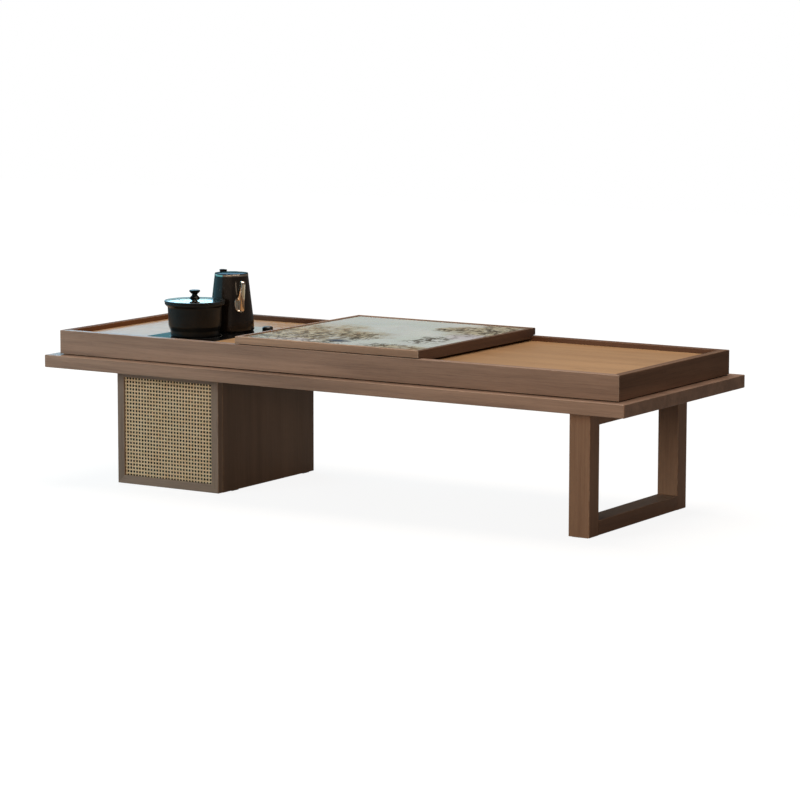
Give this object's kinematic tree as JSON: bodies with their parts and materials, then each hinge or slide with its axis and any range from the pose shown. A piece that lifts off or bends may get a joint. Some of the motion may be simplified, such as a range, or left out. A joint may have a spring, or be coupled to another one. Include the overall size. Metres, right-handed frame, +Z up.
{
  "type": "gongfu tea table",
  "caption": "Long low gongfu tea table: tray top with a built-in tea stove and a sliding stone-topped panel, on a cane-door cabinet and a loop leg.",
  "frame": {"origin": "on the floor below the middle of the deck board", "axes": "+X along the table's length towards the loop leg, +Y towards the back, away from the cabinet's door, +Z up"},
  "size_m": [1.8, 0.67, 0.5783],
  "materials": {
    "deck_veneer": "satin",
    "rail_veneer": "satin",
    "floor_veneer": "satin",
    "inner_wood": "matt",
    "cabinet_veneer": "satin",
    "cabinet_lining": "matt",
    "door_veneer": "satin",
    "cane": "matt, woven",
    "bead_wood": "satin",
    "leg_veneer": "satin",
    "panel_veneer": "satin",
    "stone": "polished, mottled",
    "shadow_gap": "matt black",
    "black_glass": "gloss, opaque",
    "seal": "matt",
    "tub_steel": "galvanised",
    "plate_metal": "cast",
    "circuit": "lacquered",
    "gland_plastic": "matt",
    "cap_plastic": "gloss",
    "screw_steel": "zinc plated",
    "pivot_steel": "plated",
    "bush_brass": "turned",
    "catch_plastic": "matt",
    "strike_steel": "plated",
    "felt": "felt",
    "glide": "low friction",
    "pot_steel": "satin black",
    "lid_glass": "clear",
    "lid_band": "satin black",
    "knob_plastic": "satin",
    "kettle_steel": "gloss dark brown",
    "polished_steel": "polished",
    "kettle_lid_steel": "polished"
  },
  "bodies": {
    "table": {"deck_board": "deck_veneer", "shadow_gap_battens": "shadow_gap", "tray_rail_front": "rail_veneer", "tray_rail_rear": "rail_veneer", "tray_rail_left": "rail_veneer", "tray_rail_right": "rail_veneer", "tray_mitre_splines": "inner_wood", "tray_bearers": "inner_wood", "tray_floor_board": "floor_veneer", "hob_glass": "black_glass", "hob_gasket": "seal", "hob_housing": "tub_steel", "hob_fixing_straps": "tub_steel", "hob_heating_plates": "plate_metal", "hob_control_board": "circuit", "hob_cable_gland": "gland_plastic", "hob_filler_cap": "cap_plastic", "cabinet_side_left": "cabinet_veneer", "cabinet_side_right": "cabinet_veneer", "cabinet_back": "cabinet_lining", "cabinet_bottom": "cabinet_lining", "cabinet_top_rails": "cabinet_lining", "cabinet_fixing_bolts": "screw_steel", "leg_fixing_bolts": "screw_steel", "cabinet_foot_pads": "felt", "leg_foot_pads": "felt", "magnetic_catch": "catch_plastic", "pivot_plate_top": "pivot_steel", "pivot_plate_bottom": "pivot_steel", "leg_post_front": "leg_veneer", "leg_post_rear": "leg_veneer", "leg_rail_bottom": "leg_veneer", "leg_rail_top": "leg_veneer"},
    "sliding_panel": {"panel_core_board": "inner_wood", "panel_frame_front": "panel_veneer", "panel_frame_rear": "panel_veneer", "panel_frame_left": "panel_veneer", "panel_frame_right": "panel_veneer", "panel_stone_top": "stone", "panel_glide_strips": "glide"},
    "door": {"door_stile_left": "door_veneer", "door_stile_right": "door_veneer", "door_rail_top": "door_veneer", "door_rail_bottom": "door_veneer", "cane_webbing": "cane", "cane_bead": "bead_wood", "door_pivot_bushes": "bush_brass", "catch_strike_plate": "strike_steel"},
    "pot": {"pot_body": "pot_steel"},
    "pot_lid": {"pot_lid_glass": "lid_glass", "pot_lid_ring": "lid_band", "pot_lid_knob": "knob_plastic"},
    "kettle": {"kettle_body": "kettle_steel", "kettle_rim_ring": "polished_steel", "kettle_handle": "polished_steel", "kettle_spout": "kettle_steel"},
    "kettle_lid": {"kettle_lid": "kettle_lid_steel"}
  },
  "joints": [
    {"name": "panel_slide", "type": "slide", "parent": "table", "child": "sliding_panel", "axis": [1, 0, 0], "range_m": [-0.146, 0.559]},
    {"name": "door_hinge", "type": "hinge", "parent": "table", "child": "door", "pos_m": [-0.7225, -0.219, 0.1615], "axis": [0, 0, -1], "range_deg": [0, 95]},
    {"name": "pot_lift", "type": "slide", "parent": "table", "child": "pot", "axis": [0, 0, 1], "range_m": [0, 0.15]},
    {"name": "pot_lid_lift", "type": "slide", "parent": "pot", "child": "pot_lid", "axis": [0, 0, 1], "range_m": [0, 0.08]},
    {"name": "kettle_lift", "type": "slide", "parent": "table", "child": "kettle", "axis": [0, 0, 1], "range_m": [0, 0.15]},
    {"name": "kettle_lid_lift", "type": "slide", "parent": "kettle", "child": "kettle_lid", "axis": [0, 0, 1], "range_m": [0, 0.06]}
  ]
}
